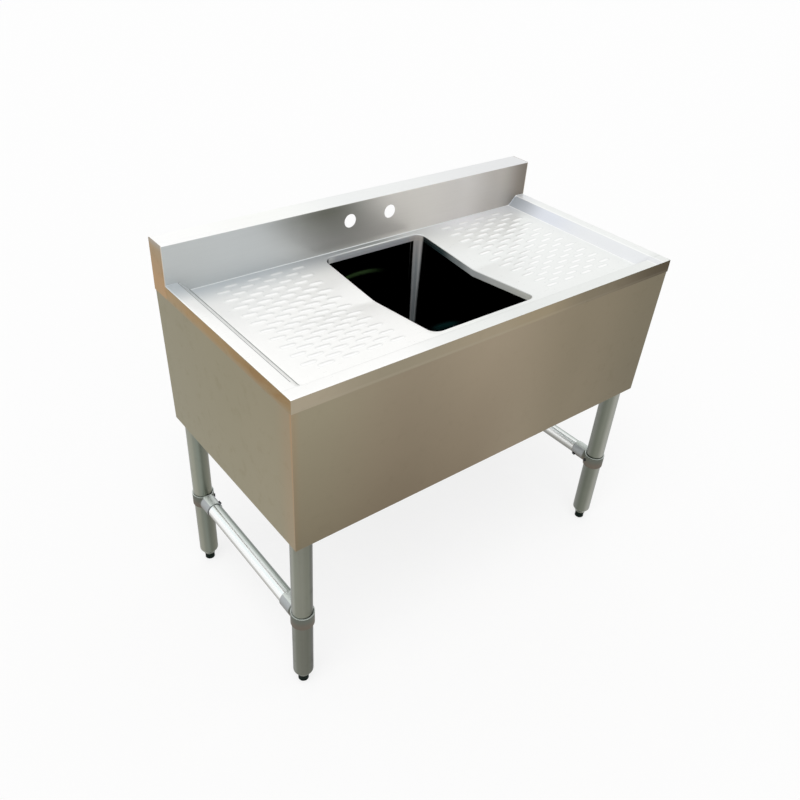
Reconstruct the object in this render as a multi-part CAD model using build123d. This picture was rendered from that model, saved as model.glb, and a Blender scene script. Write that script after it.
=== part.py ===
from build123d import *
import math
import os

os.makedirs("parts", exist_ok=True)

# Overall sizes, in millimetres, standing on a floor with the feet screwed fully in.
# The origin is on the floor under the middle, +Y is the back and +Z is up.
width = 914.4
depth = 476.25
rim_height = 730.25
sheet = 1.2

# Deck: rim, sloping wall, level margin, then two boards that fall in a V to the bowl
rim_width = 25.4
wall_run = 20.0
recess_depth = 20.0
floor_margin = 4.0
hem_height = 27.0
hem_bend = 2.4
wall_bend = 6.0
valley_drop = 16.5

# Bowl and the opening for it
bowl_width = 254.0
bowl_length = 349.25
bowl_depth = 254.0
bowl_corner = 19.5
bowl_cove = 16.0
bowl_from_front = 61.0
bowl_board_margin = 10.0
lip_at_ends = 7.0
lip_at_valley = 15.0

# Raised dashes pressed in the boards, counted from the bowl outwards
dash_length = 33.0
dash_width = 10.5
dash_rise = 1.2
dash_taper = 30.0
dash_row_pitch = 15.95
dash_past_valley = 5.875
dash_edge_margin = 22.0
dash_end_margin = 15.0
left_dash_pitch = 49.0
left_dash_start = 65.5
right_dash_pitch = 50.5
right_dash_start = 67.0
dash_stagger = 23.5

# Backsplash box, open at the back
splash_height = 76.2
splash_depth = 50.8
splash_flange = 12.8
splash_rear_lip = 12.7
splash_bend = 2.4
faucet_spacing = 101.6
faucet_hole = 28.6
faucet_hole_up = 38.1

# Aprons: tucked up behind the hem, leaning in towards the bottom, with a lip
apron_height = 323.85
apron_tuck = 15.0
apron_inset = 5.6
apron_lip = 6.5
apron_bend = 1.8
rear_return = 14.0

# Channels, sockets and the angle under the deck
channel_depth = 47.0
channel_wall = 2.0
channel_outer = 9.0
edge_gap = 4.0
socket_plate = 60.0
socket_plate_thick = 3.0
socket_collar = 50.0
socket_wall = 2.6
angle_leg = 25.0
angle_wall = 2.0
angle_gap = 1.0

# Legs, rails and tees
leg_diameter = 41.3
leg_wall = 1.5
leg_from_end = 34.0
leg_from_front = 35.0
leg_from_back = 30.5
swage_top = 33.0
leg_end = 19.0
neck_diameter = 24.4
neck_height = 2.0
swage_bend = 8.0
neck_bend = 3.0
rail_diameter = 31.75
rail_wall = 1.2
rail_axis_height = 191.5
tee_bottom = 174.25
tee_top = 207.0
tee_diameter = 47.0
tee_chamfer = 3.0
tee_reach = 55.0
tee_socket_diameter = 35.8
tee_socket_start = 26.0
tube_clearance = 0.25
tee_clearance = 0.7
tee_shift = 0.5
rail_end_gap = 0.5

# Set screws: one in each socket collar and two in each tee
screw_diameter = 8.0
screw_stand_out = 2.5
screw_hole_clearance = 0.1
collar_screw_turn = 25.0
socket_screw_turn = 30.0
socket_screw_from_mouth = 6.0

# Feet and the plugs that they screw into
foot_diameter = 21.6
foot_top_diameter = 20.8
foot_edge = 2.5
foot_gap = 0.3
stem_diameter = 10.0
stem_top = 60.0
stem_clearance = 0.06
plug_flange = 2.0
plug_flange_diameter = 24.0
plug_top = 40.0

# Drain in the bowl floor, from the top down
drain_hole = 88.9
drain_recess = 3.0
drain_recess_diameter = 118.0
drain_recess_slope = 1.5
drain_flange_diameter = 114.3
drain_flange = 1.5
cup_diameter = 85.0
cup_wall = 2.0
cup_depth = 43.0
cup_floor = 4.0
seat_top = 20.0
seat_bottom = 32.0
seat_bottom_diameter = 60.0
outlet_diameter = 45.0
outlet_bore = 33.0
outlet_depth = 69.0
gasket_thick = 3.0
gasket_diameter = 112.0
friction_thick = 1.0
friction_diameter = 108.0
locknut_height = 12.0
locknut_diameter = 104.0
locknut_lug = 5.0
locknut_lugs = 8
thread_clearance = 0.2
tailpiece_diameter = 38.1
tailpiece_wall = 1.2
tailpiece_length = 101.6
tailpiece_flange = 1.6
tailpiece_flare = 0.7
tailpiece_flare_height = 6.0
washer_thick = 2.0
nut_across = 54.0
nut_cover = 14.0
nut_floor = 3.0
nut_bore_clearance = 1.0

# Strainer basket that lifts out, with a rubber stopper under it
basket_top = 4.0
basket_floor = 24.0
basket_rim_diameter = 78.0
basket_diameter = 73.0
basket_floor_diameter = 64.0
basket_sheet = 1.0
basket_taper = 5.0
basket_hole = 5.0
basket_ring_holes = 12
stopper_thick = 6.0
stopper_gap = 0.4
post_diameter = 6.0
knob_diameter = 20.0
knob_height = 8.0

# Places that follow from the sizes above
left_end = -width / 2
front = -depth / 2
back = depth / 2
splash_front = back - splash_depth
recess_edge = rim_width + wall_run
board_edge = recess_edge + floor_margin
recess_floor = rim_height - recess_depth
board_start = left_end + board_edge
board_stop = -bowl_width / 2 - bowl_board_margin
valley_y = front + bowl_from_front + bowl_length / 2
bowl_floor = recess_floor - bowl_depth
hem_bottom = rim_height - hem_height
apron_bottom = rim_height - apron_height
channel_bottom = rim_height - channel_depth
socket_underside = channel_bottom - socket_plate_thick
leg_x = left_end + leg_from_end
front_leg_y = front + leg_from_front
rear_leg_y = back - leg_from_back
leg_radius = leg_diameter / 2
over = 5.0


def save(node, shape):
    """Write one piece under its name."""
    export_step(shape, f"parts/{node}.step")


def mirrored(shape):
    """The same piece on the other side of the sink."""
    return mirror(shape, about=Plane.YZ)


def block(x0, x1, y0, y1, z0, z1):
    """Box between two corners."""
    return Pos((x0 + x1) / 2, (y0 + y1) / 2, (z0 + z1) / 2) * Box(x1 - x0, y1 - y0, z1 - z0)


def upright(diameter, z0, z1, x=0.0, y=0.0):
    """Round bar along Z."""
    return Pos(x, y, (z0 + z1) / 2) * Cylinder(diameter / 2, z1 - z0)


def turned(points):
    """Solid of revolution about Z, from (radius, height) corners."""
    return revolve(Plane.XZ * make_face(Polyline(*points, close=True)), axis=Axis.Z)


def folded(corners, bends, thickness):
    """Section of a folded sheet on the right-hand side of its outer line."""
    outer = FilletPolyline(*corners, radius=bends)
    return make_face(outer.offset_2d(thickness, side=Side.RIGHT, closed=True).edges())


def along_x(section, x0, x1):
    """Section drawn in (Y, Z), run from x0 to x1."""
    return extrude(Plane(origin=(x0, 0, 0), x_dir=(0, 1, 0), z_dir=(1, 0, 0)) * section, amount=x1 - x0)


def along_y(section, y0, y1):
    """Section drawn in (X, Z), run from y0 to y1."""
    return extrude(Plane(origin=(0, y1, 0), x_dir=(1, 0, 0), z_dir=(0, -1, 0)) * section, amount=y1 - y0)


def plan_prism(points):
    """Upright prism over a plan outline, taller than the sink."""
    return extrude(make_face(Polyline(*points, close=True)), amount=rim_height + splash_height + over)


# Deck: the rim is run along three sides and mitred at the two front corners
def rim_corners(start):
    return [
        (start, hem_bottom),
        (start, rim_height),
        (start + rim_width, rim_height),
        (start + recess_edge, recess_floor),
        (start + board_edge, recess_floor),
    ]


def valley_loop(x, drop):
    """Thin V across the deck at one place along its length."""
    upper = [(front + board_edge, 0), (valley_y, -drop), (splash_front, 0)]
    lower = [(y, z - sheet) for y, z in reversed(upper)]
    return Wire.make_polygon([Vector(x, y, recess_floor + z) for y, z in upper + lower], close=True)


def under_valley(end_gap, valley_gap, x_reach):
    """Everything lower than a V that lies these gaps under the boards at the bowl."""
    ends = recess_floor - end_gap
    middle = recess_floor - valley_drop - valley_gap
    corners = [
        (front + board_edge, ends),
        (valley_y, middle),
        (splash_front, ends),
        (splash_front, bowl_floor - bowl_depth),
        (front + board_edge, bowl_floor - bowl_depth),
    ]
    return along_x(make_face(Polyline(*corners, close=True)), -x_reach, x_reach)


def bowl_outline(grow):
    """Rounded rectangle of the bowl opening, made larger all round by grow."""
    return Pos(0, valley_y) * RectangleRounded(
        bowl_width + 2 * grow, bowl_length + 2 * grow, bowl_corner + grow
    )


def dash(side, from_end, y):
    """One pressed dash, lying on the slope of the board."""
    share = (from_end - board_edge) / (board_stop - board_start)
    front_run = valley_y - front - board_edge
    back_run = splash_front - valley_y
    if y < valley_y:
        across = (y - front - board_edge) / front_run
        slope_y = -valley_drop * share / front_run
    else:
        across = (splash_front - y) / back_run
        slope_y = valley_drop * share / back_run
    slope_x = side * valley_drop * across / (board_stop - board_start)
    place = Plane(
        origin=(side * (width / 2 - from_end), y, recess_floor - valley_drop * share * across),
        x_dir=(1, 0, slope_x),
        z_dir=(-slope_x, -slope_y, 1),
    )
    base = place.offset(-sheet / 2) * SlotOverall(dash_length, dash_width)
    return extrude(base, amount=sheet / 2 + dash_rise, taper=dash_taper).solid()


def dashes(side, pitch, start):
    """All dashes that one board has room for: every other row is shifted outwards."""
    middle_row = valley_y + dash_past_valley
    rows_ahead = int((middle_row - front - board_edge - dash_edge_margin) / dash_row_pitch)
    rows_behind = int((splash_front - dash_edge_margin - middle_row) / dash_row_pitch)
    board_length = (width - bowl_width) / 2 - board_edge
    made = []
    for row in range(-rows_ahead, rows_behind + 1):
        first = start + (dash_stagger if row % 2 else 0.0)
        room = board_length - dash_end_margin - dash_length / 2 - first
        for place in range(int(room / pitch) + 1):
            from_end = (width - bowl_width) / 2 - first - place * pitch
            made.append(dash(side, from_end, middle_row + row * dash_row_pitch))
    return made


def make_deck():
    rim_bends = [hem_bend, wall_bend, wall_bend]
    front_rim = along_x(folded(rim_corners(front), rim_bends, sheet), left_end, -left_end)
    front_rim &= plan_prism([
        (left_end, front),
        (-left_end, front),
        (-board_start, front + board_edge),
        (board_start, front + board_edge),
    ])
    left_rim = along_y(folded(rim_corners(left_end), rim_bends, sheet), front, splash_front)
    left_rim &= plan_prism([
        (left_end, front),
        (board_start, front + board_edge),
        (board_start, splash_front),
        (left_end, splash_front),
    ])
    board = Solid.make_loft(
        [valley_loop(board_start, 0), valley_loop(board_stop, valley_drop)], ruled=True
    )
    middle_face = make_face(valley_loop(board_stop, valley_drop).edges())
    middle = extrude(middle_face, amount=-2 * board_stop, dir=(1, 0, 0))
    lip_reach = bowl_width / 2 + sheet + over
    lip = extrude(bowl_outline(sheet), amount=rim_height)
    lip &= under_valley(sheet / 2, sheet / 2, lip_reach)
    lip -= under_valley(lip_at_ends, lip_at_valley, lip_reach)
    deck = front_rim + left_rim + mirrored(left_rim) + board + mirrored(board) + middle + lip
    deck -= extrude(bowl_outline(0), amount=rim_height)
    bumps = dashes(-1, left_dash_pitch, left_dash_start) + dashes(1, right_dash_pitch, right_dash_start)
    return deck.solid().fuse(*bumps)


save("deck", make_deck())

# Backsplash: front sheet with the faucet holes, top return and a short rear lip
splash_top = rim_height + splash_height
splash_section = folded(
    [
        (splash_front, recess_floor - sheet - splash_flange),
        (splash_front, splash_top),
        (back, splash_top),
        (back, splash_top - splash_rear_lip),
    ],
    [splash_bend, splash_bend],
    sheet,
)
backsplash = along_x(splash_section, left_end + sheet, -left_end - sheet)
for x in (-faucet_spacing / 2, faucet_spacing / 2):
    hole = Cylinder(faucet_hole / 2, splash_depth, rotation=(90, 0, 0))
    backsplash -= Pos(x, splash_front, rim_height + faucet_hole_up) * hole
for x in (left_end, -left_end):
    reach = 2 * sheet + tube_clearance
    tuck_top = hem_bottom + apron_tuck + tube_clearance
    backsplash -= block(x - reach, x + reach, front, back, apron_bottom, tuck_top)
save("backsplash", backsplash)

end_outline = FilletPolyline(
    (splash_front, hem_bottom),
    (splash_front, splash_top),
    (back, splash_top),
    (back, hem_bottom),
    radius=[splash_bend, splash_bend],
)
end_face = make_face([*end_outline.edges(), Line((back, hem_bottom), (splash_front, hem_bottom))])
splash_end = along_x(end_face, left_end, left_end + sheet)
save("splash_end_left", splash_end)
save("splash_end_right", mirrored(splash_end))

# Aprons: each is a folded sheet whose ends lean in with the sheets that it meets
def leaning(low, high, from_low, from_high):
    """Upright strip between two edges of the deck, these depths inside the aprons' outer faces."""
    foot = apron_bottom - over
    foot_inset = sheet + (apron_inset - sheet) * (hem_bottom - foot) / (hem_bottom - apron_bottom)
    top = hem_bottom + apron_tuck + over
    return make_face(Polyline(
        (low + foot_inset + from_low, foot),
        (low + sheet + from_low, hem_bottom),
        (low + sheet + from_low, top),
        (high - sheet - from_high, top),
        (high - sheet - from_high, hem_bottom),
        (high - foot_inset - from_high, foot),
        close=True,
    ))


def apron_corners(start):
    """Outer line of an apron from its top down, starting from the deck's edge."""
    return [
        (start + apron_inset + apron_lip, apron_bottom),
        (start + apron_inset, apron_bottom),
        (start + sheet, hem_bottom),
        (start + sheet, hem_bottom + apron_tuck),
    ]


apron_bends = [apron_bend, 0]
half_sheet = sheet / 2
front_apron = along_x(folded(apron_corners(front), apron_bends, sheet), left_end, -left_end)
front_apron &= along_y(leaning(left_end, -left_end, 0, 0), front, front + rim_width)
left_apron = along_y(folded(apron_corners(left_end), apron_bends, sheet), front, back)
left_apron &= along_x(leaning(front, back, half_sheet, 0), left_end, left_end + rim_width)
lip_edge = front + apron_inset + apron_lip
left_apron -= front_apron + block(left_end, 0, front, lip_edge, apron_bottom - over, apron_bottom + sheet)
rear_line = Polyline(
    (back - sheet, hem_bottom + apron_tuck),
    (back - sheet, hem_bottom),
    (back - apron_inset, apron_bottom),
)
rear_face = make_face(rear_line.offset_2d(sheet, side=Side.RIGHT, closed=True).edges())
rear_edge = along_x(rear_face, left_end, left_end + sheet + rear_return)
rear_edge &= along_y(leaning(left_end, -left_end, half_sheet, 0), back - rim_width, back)
left_apron += rear_edge
save("front_apron", front_apron)
save("left_apron", left_apron)
save("right_apron", mirrored(left_apron))

# Channel under each drainboard: its outer wall meets the rim, its inner wall the margin
channel_left = left_end + channel_outer
channel_right = board_start
channel = block(
    channel_left, channel_right, front + edge_gap, back - edge_gap, channel_bottom, channel_bottom + channel_wall
)
for x, top in (
    (channel_left, rim_height - sheet),
    (channel_right - channel_wall, recess_floor - sheet),
):
    channel += block(
        x, x + channel_wall, front + edge_gap, splash_front - tube_clearance, channel_bottom, top
    )
save("left_channel", channel)
save("right_channel", mirrored(channel))

# Angle between the channels, behind the backsplash flange
angle_top = recess_floor - sheet
angle_y = splash_front + sheet
angle_x = -board_start - angle_gap
rear_angle = block(-angle_x, angle_x, angle_y, angle_y + angle_wall, angle_top - angle_leg, angle_top)
rear_angle += block(-angle_x, angle_x, angle_y, angle_y + angle_leg, angle_top - angle_wall, angle_top)
save("rear_angle", rear_angle)

# Bowl: straight walls, rounded corners, coved floor with a recess for the drain
bowl_solids = []
for grow in (sheet, 0):
    floor = bowl_floor - grow
    body = extrude(Pos(0, 0, floor) * bowl_outline(grow), amount=rim_height - floor)
    bowl_solids.append(fillet(body.faces().sort_by(Axis.Z)[0].edges(), bowl_cove + grow))
bowl = bowl_solids[0] - bowl_solids[1]
bowl &= under_valley(lip_at_ends, lip_at_valley, bowl_width / 2 + sheet + over)
recess_radius = drain_recess_diameter / 2
drain_at = Pos(0, valley_y, bowl_floor)
bowl -= drain_at * Cylinder(recess_radius + sheet, over)
bowl += drain_at * turned([
    (recess_radius + sheet, 0),
    (recess_radius + sheet, -sheet),
    (recess_radius + sheet - drain_recess_slope, -drain_recess - sheet),
    (drain_hole / 2, -drain_recess - sheet),
    (drain_hole / 2, -drain_recess),
    (recess_radius - drain_recess_slope, -drain_recess),
    (recess_radius, 0),
])
save("bowl", bowl)

# Drain body: flange in the recess, cup with a conical seat, and a threaded outlet
cup_radius = cup_diameter / 2
cup_bore = cup_radius - cup_wall
flange_seat = -drain_recess
cup_base = flange_seat - cup_depth
outlet_end = flange_seat - outlet_depth
seat_lower_radius = seat_bottom_diameter / 2
drain_body = drain_at * turned([
    (drain_flange_diameter / 2, flange_seat),
    (cup_radius, flange_seat),
    (cup_radius, cup_base),
    (outlet_diameter / 2, cup_base - cup_floor),
    (outlet_diameter / 2, outlet_end),
    (outlet_bore / 2, outlet_end),
    (outlet_bore / 2, cup_base),
    (seat_lower_radius, cup_base + cup_floor),
    (seat_lower_radius, flange_seat - seat_bottom),
    (cup_bore, flange_seat - seat_top),
    (cup_bore, flange_seat + drain_flange),
    (drain_flange_diameter / 2, flange_seat + drain_flange),
])
save("drain_body", drain_body)


def ring(outer, inner, z0, z1):
    """Flat ring on the drain's axis, between two heights from the bowl floor."""
    return drain_at * (upright(outer, z0, z1) - upright(inner, z0 - over, z1 + over))


thread_bore = cup_diameter + 2 * thread_clearance
gasket_top = flange_seat - sheet
gasket_bottom = gasket_top - gasket_thick
friction_bottom = gasket_bottom - friction_thick
locknut_bottom = friction_bottom - locknut_height
save("drain_gasket", ring(gasket_diameter, thread_bore, gasket_bottom, gasket_top))
save("drain_friction_washer", ring(friction_diameter, thread_bore, friction_bottom, gasket_bottom))
locknut = ring(locknut_diameter, cup_diameter, locknut_bottom, friction_bottom)
for turn in range(locknut_lugs):
    lug = Pos(locknut_diameter / 2, 0, (locknut_bottom + friction_bottom) / 2)
    lug *= Box(2 * locknut_lug, 2 * locknut_lug, locknut_height)
    locknut += drain_at * Rot(0, 0, turn * 360 / locknut_lugs) * lug
save("drain_locknut", locknut)

# Tailpiece hung from the outlet by its slip nut, with a washer between
tail_flange_diameter = outlet_diameter - 2 * thread_clearance
washer_bottom = outlet_end - washer_thick
tail_flange_bottom = washer_bottom - tailpiece_flange
tail_bore = tailpiece_diameter - 2 * tailpiece_wall
save("tailpiece_washer", ring(tail_flange_diameter, outlet_bore, washer_bottom, outlet_end))
tail_radius = tailpiece_diameter / 2
save("tailpiece", drain_at * turned([
    (tail_bore / 2, washer_bottom - tailpiece_length),
    (tail_radius, washer_bottom - tailpiece_length),
    (tail_radius, tail_flange_bottom - tailpiece_flare_height),
    (tail_radius + tailpiece_flare, tail_flange_bottom),
    (tail_flange_diameter / 2, tail_flange_bottom),
    (tail_flange_diameter / 2, washer_bottom),
    (tail_bore / 2, washer_bottom),
]))
nut_top = outlet_end + nut_cover
nut_bottom = tail_flange_bottom - nut_floor
nut_outline = RegularPolygon(nut_across / 2, 6, major_radius=False)
nut_blank = Pos(0, 0, nut_bottom) * extrude(nut_outline, nut_top - nut_bottom)
nut_blank -= upright(outlet_diameter, tail_flange_bottom, nut_top + over)
nut_blank -= upright(tailpiece_diameter + 2 * nut_bore_clearance, nut_bottom - over, nut_top)
save("coupling_nut", drain_at * nut_blank)

# Strainer basket: perforated cup, rubber stopper under it and a knob on a post
basket_floor_z = flange_seat - basket_floor
basket_rim_z = flange_seat - basket_top
basket = drain_at * turned([
    (0, basket_floor_z),
    (basket_floor_diameter / 2, basket_floor_z),
    (basket_diameter / 2, basket_floor_z + basket_taper),
    (basket_diameter / 2, basket_rim_z - basket_sheet),
    (basket_rim_diameter / 2, basket_rim_z - basket_sheet),
    (basket_rim_diameter / 2, basket_rim_z),
    (basket_diameter / 2 - basket_sheet, basket_rim_z),
    (basket_diameter / 2 - basket_sheet, basket_floor_z + basket_taper),
    (basket_floor_diameter / 2 - basket_sheet, basket_floor_z + basket_sheet),
    (0, basket_floor_z + basket_sheet),
])
hole_ring = (knob_diameter + basket_floor_diameter) / 4
for turn in range(basket_ring_holes):
    spot = Rot(0, 0, turn * 360 / basket_ring_holes) * Pos(hole_ring, 0, basket_floor_z)
    basket -= drain_at * spot * Cylinder(basket_hole / 2, over)
basket -= drain_at * upright(post_diameter, basket_floor_z - over, basket_floor_z + over)
save("strainer_basket", basket)

seat_slope = (cup_bore - seat_lower_radius) / (seat_bottom - seat_top)
stopper_bottom = basket_floor_z - stopper_thick
stopper_hole = post_diameter / 2


def stopper_radius(z):
    """Radius of the stopper at one height, clear of the conical seat."""
    return cup_bore - seat_slope * (flange_seat - seat_top - z) - stopper_gap * math.hypot(1, seat_slope)


stopper = turned([
    (stopper_hole, basket_floor_z),
    (stopper_radius(basket_floor_z), basket_floor_z),
    (stopper_radius(stopper_bottom), stopper_bottom),
    (stopper_hole, stopper_bottom),
])
save("basket_stopper", drain_at * stopper)
knob_top = basket_rim_z + knob_height / 2
knob = upright(post_diameter, stopper_bottom, knob_top)
knob += upright(knob_diameter, knob_top - knob_height, knob_top)
save("basket_knob", drain_at * knob)


# Legs: each corner of the sink gets a socket, a leg, a tee, a plug and a foot
def leg_section():
    """Wall of the leg tube from the open lower end to the top."""
    outer = FilletPolyline(
        (neck_diameter / 2, leg_end),
        (neck_diameter / 2, leg_end + neck_height),
        (leg_radius, swage_top),
        (leg_radius, socket_underside),
        radius=[neck_bend, swage_bend],
    )
    return make_face(outer.offset_2d(leg_wall, side=Side.LEFT, closed=True).edges())


leg_at_axis = revolve(Plane.XZ * leg_section(), axis=Axis.Z)
neck_bore = neck_diameter - 2 * leg_wall
plug_bottom = leg_end - plug_flange
plug_at_axis = upright(plug_flange_diameter, plug_bottom, leg_end) + upright(neck_bore, leg_end, plug_top)
plug_at_axis -= upright(stem_diameter + 2 * stem_clearance, plug_bottom - over, plug_top + over)
pad_top = plug_bottom - foot_gap
foot_at_axis = turned([
    (0, 0),
    (foot_diameter / 2 - foot_edge, 0),
    (foot_diameter / 2, foot_edge),
    (foot_top_diameter / 2, pad_top),
    (stem_diameter / 2, pad_top),
    (stem_diameter / 2, stem_top),
    (0, stem_top),
])
collar_diameter = leg_diameter + 2 * tube_clearance + 2 * socket_wall
collar_bottom = socket_underside - socket_collar


def set_screw(diameter, start, stop):
    """Grub screw along +X between two distances from an axis."""
    return Pos((start + stop) / 2, 0, 0) * Cylinder(diameter / 2, stop - start, rotation=(0, 90, 0))


def left_corner(y, towards_middle, turn_up):
    """Pieces of one left-hand corner; towards_middle is +1 at the front and -1 at the back."""
    leg_at = Pos(leg_x, y, 0)
    outer_y = front + edge_gap if towards_middle > 0 else back - edge_gap
    plate_x = left_end + edge_gap
    plate = block(
        plate_x,
        plate_x + socket_plate,
        min(outer_y, outer_y + towards_middle * socket_plate),
        max(outer_y, outer_y + towards_middle * socket_plate),
        socket_underside,
        channel_bottom,
    )
    collar = upright(collar_diameter, collar_bottom, socket_underside)
    collar -= upright(leg_diameter + 2 * tube_clearance, collar_bottom - over, socket_underside)
    screw_at = Pos(0, 0, (collar_bottom + socket_underside) / 2)
    screw_out = collar_diameter / 2 + screw_stand_out
    hole_diameter = screw_diameter + 2 * screw_hole_clearance
    collar -= screw_at * set_screw(hole_diameter, leg_radius - over, screw_out)
    socket = plate + leg_at * collar
    socket_screw = leg_at * screw_at * set_screw(screw_diameter, leg_radius, screw_out)

    tee_at = Pos(tee_shift, 0, 0)
    tee_ring = tee_at * upright(tee_diameter, tee_bottom, tee_top)
    tee_ring = chamfer(tee_ring.faces().sort_by(Axis.Z)[0].edges(), tee_chamfer)
    facing = Rot(-90 * towards_middle, 0, 0)
    arm_at = Pos(0, 0, rail_axis_height) * facing
    tee = tee_ring + arm_at * upright(tee_socket_diameter, 0, tee_reach)
    tee -= tee_at * upright(leg_diameter + 2 * tee_clearance, tee_bottom - over, tee_top + 2 * over)
    tee -= arm_at * upright(rail_diameter + 2 * tube_clearance, tee_socket_start, tee_reach + over)
    tee_middle = (tee_bottom + tee_top) / 2
    ring_screw_at = Pos(0, 0, tee_middle) * Rot(0, 0, towards_middle * collar_screw_turn)
    arm_screw_at = Pos(0, towards_middle * (tee_reach - socket_screw_from_mouth), rail_axis_height)
    arm_screw_at *= Rot(0, -turn_up * socket_screw_turn, 0)
    ring_out = tee_diameter / 2 + screw_stand_out
    arm_out = tee_socket_diameter / 2 + screw_stand_out
    tee -= ring_screw_at * set_screw(hole_diameter, leg_radius - over, ring_out + over)
    tee -= arm_screw_at * set_screw(hole_diameter, rail_diameter / 2 - over, arm_out + over)
    tee_screws = [
        leg_at * ring_screw_at * set_screw(screw_diameter, leg_radius, ring_out),
        leg_at * arm_screw_at * set_screw(screw_diameter, rail_diameter / 2, arm_out),
    ]
    return {
        "leg_socket": socket,
        "leg": leg_at * leg_at_axis,
        "tee": leg_at * tee,
        "leg_plug": leg_at * plug_at_axis,
        "foot": leg_at * foot_at_axis,
    }, [socket_screw], tee_screws


socket_screws = []
all_tee_screws = []
for row, y, towards_middle in (("front", front_leg_y, 1), ("rear", rear_leg_y, -1)):
    for side, turn_up in (("left", 1), ("right", -1)):
        pieces, socket_screw, tee_screws = left_corner(y, towards_middle, turn_up)
        to_side = mirrored if side == "right" else lambda shape: shape
        for name, shape in pieces.items():
            save(f"{row}_{side}_{name}", to_side(shape))
        socket_screws += [to_side(screw) for screw in socket_screw]
        all_tee_screws += [to_side(screw) for screw in tee_screws]
save("socket_set_screws", Compound(children=[screw.solid() for screw in socket_screws]))
save("tee_set_screws", Compound(children=[screw.solid() for screw in all_tee_screws]))

# Side rails between the tees
rail_from = front_leg_y + tee_socket_start + rail_end_gap
rail_to = rear_leg_y - tee_socket_start - rail_end_gap
rail_length = rail_to - rail_from
rail_bar = Pos(leg_x, (rail_from + rail_to) / 2, rail_axis_height)
rail = rail_bar * Cylinder(rail_diameter / 2, rail_length, rotation=(90, 0, 0))
rail -= rail_bar * Cylinder(rail_diameter / 2 - rail_wall, rail_length + over, rotation=(90, 0, 0))
save("left_rail", rail)
save("right_rail", mirrored(rail))
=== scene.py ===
import math

import bmesh
import bpy
from mathutils import Euler, Matrix, Vector


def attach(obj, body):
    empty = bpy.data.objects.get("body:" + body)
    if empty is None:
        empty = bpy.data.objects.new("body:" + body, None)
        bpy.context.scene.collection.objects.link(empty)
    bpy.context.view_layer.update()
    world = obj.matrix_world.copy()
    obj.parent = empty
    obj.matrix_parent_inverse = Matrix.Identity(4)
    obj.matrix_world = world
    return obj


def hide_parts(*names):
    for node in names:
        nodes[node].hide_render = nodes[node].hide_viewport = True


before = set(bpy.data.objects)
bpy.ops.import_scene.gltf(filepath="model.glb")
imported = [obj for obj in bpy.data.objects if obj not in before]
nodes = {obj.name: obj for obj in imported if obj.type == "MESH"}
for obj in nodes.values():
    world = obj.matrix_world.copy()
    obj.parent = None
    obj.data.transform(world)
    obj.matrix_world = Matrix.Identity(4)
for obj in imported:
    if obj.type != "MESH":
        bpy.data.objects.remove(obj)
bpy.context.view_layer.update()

# Deck: one sheet of bright stainless steel, pressed into a raised rim, two boards that fall in a V to the
# bowl with rows of dashes, and a rolled edge round the bowl opening, then folded down on three sides.
rim_top = 0.73025
deck_end = 0.4572
deck_front = -0.238125
splash_face = 0.187325
deck_sheet = 0.0012
sharp_fold = math.radians(50)
# Points closer than this are in the same place
touching = 0.0001
weld_height = 0.0008
weld_width = 0.0012

hem_bend = 0.0024
hem_foot = 0.70325
bend_angles = (22.5, 45.0, 67.5, 90.0)

wall_start = 0.0254
wall_stop = 0.0454
fold_radius = 0.0012
fold_reach = 0.0026
rim_corner = 0.012

board_start = 0.4078
board_stop = 0.137
board_front = -0.188725
valley_line = -0.0025
valley_drop = 0.0165
valley_radius = 0.006

bowl_half_width = 0.127
bowl_half_length = 0.174625
bowl_corner = 0.0195
lip_drop = 0.0245
# The rolled edge of the opening, as how far outside the opening and how far below the sheet each step is
rolled_edge = ((0.0020, 0.0), (0.0009, 0.0003), (0.0002, 0.0011), (0.0, 0.0024))

dash_height = 0.0015
dash_straight = 0.0105
dash_crown = 0.0008
dash_flank = 0.0052
dash_rows = range(-10, 11)
dash_row_pitch = 0.01595
dash_row_offset = 0.005875
dash_stagger = 0.0235
dashes_in_row = 4
# Pitch along the row, and the place of the first dash
left_dashes = (0.0490, 0.1925)
right_dashes = (0.0505, 0.1940)

grid_cell = dash_row_pitch / 8
# Cells of the grid from the valley to the last dash, and to the hole that is cut for the bowl
dashed_cells = 94
hole_cells = 91
hole_front = valley_line - hole_cells * grid_cell
hole_back = valley_line + hole_cells * grid_cell


def eased(value):
    """Soft step from 0 to 1."""
    value = min(max(value, 0.0), 1.0)
    return value * value * (3 - 2 * value)


def past(value, limit):
    """How far a value has gone past a limit, with a small bend radius at the limit."""
    return (value - limit + math.hypot(value - limit, fold_radius)) / 2


def board_run(y):
    """How far the boards reach from the valley, to the front or to the back."""
    return valley_line - board_front if y < valley_line else splash_face - valley_line


def deck_level(x, y):
    """Height of the pressed sheet: rim, sloping wall, and boards in a V, without the dashes."""
    from_end, from_front = deck_end - abs(x), y - deck_front
    corner = max(rim_corner - abs(from_end - from_front), 0.0)
    inside = min(from_end, from_front) - corner * corner / (4 * rim_corner)
    level = rim_top - past(inside, wall_start) + past(inside, wall_stop)
    down_board = min(max((board_start - abs(x)) / (board_start - board_stop), 0.0), 1.0)
    off_valley = math.hypot(y - valley_line, valley_radius) - valley_radius
    return level - valley_drop * down_board * max(1 - off_valley / (board_run(y) - valley_radius), 0.0)


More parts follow.
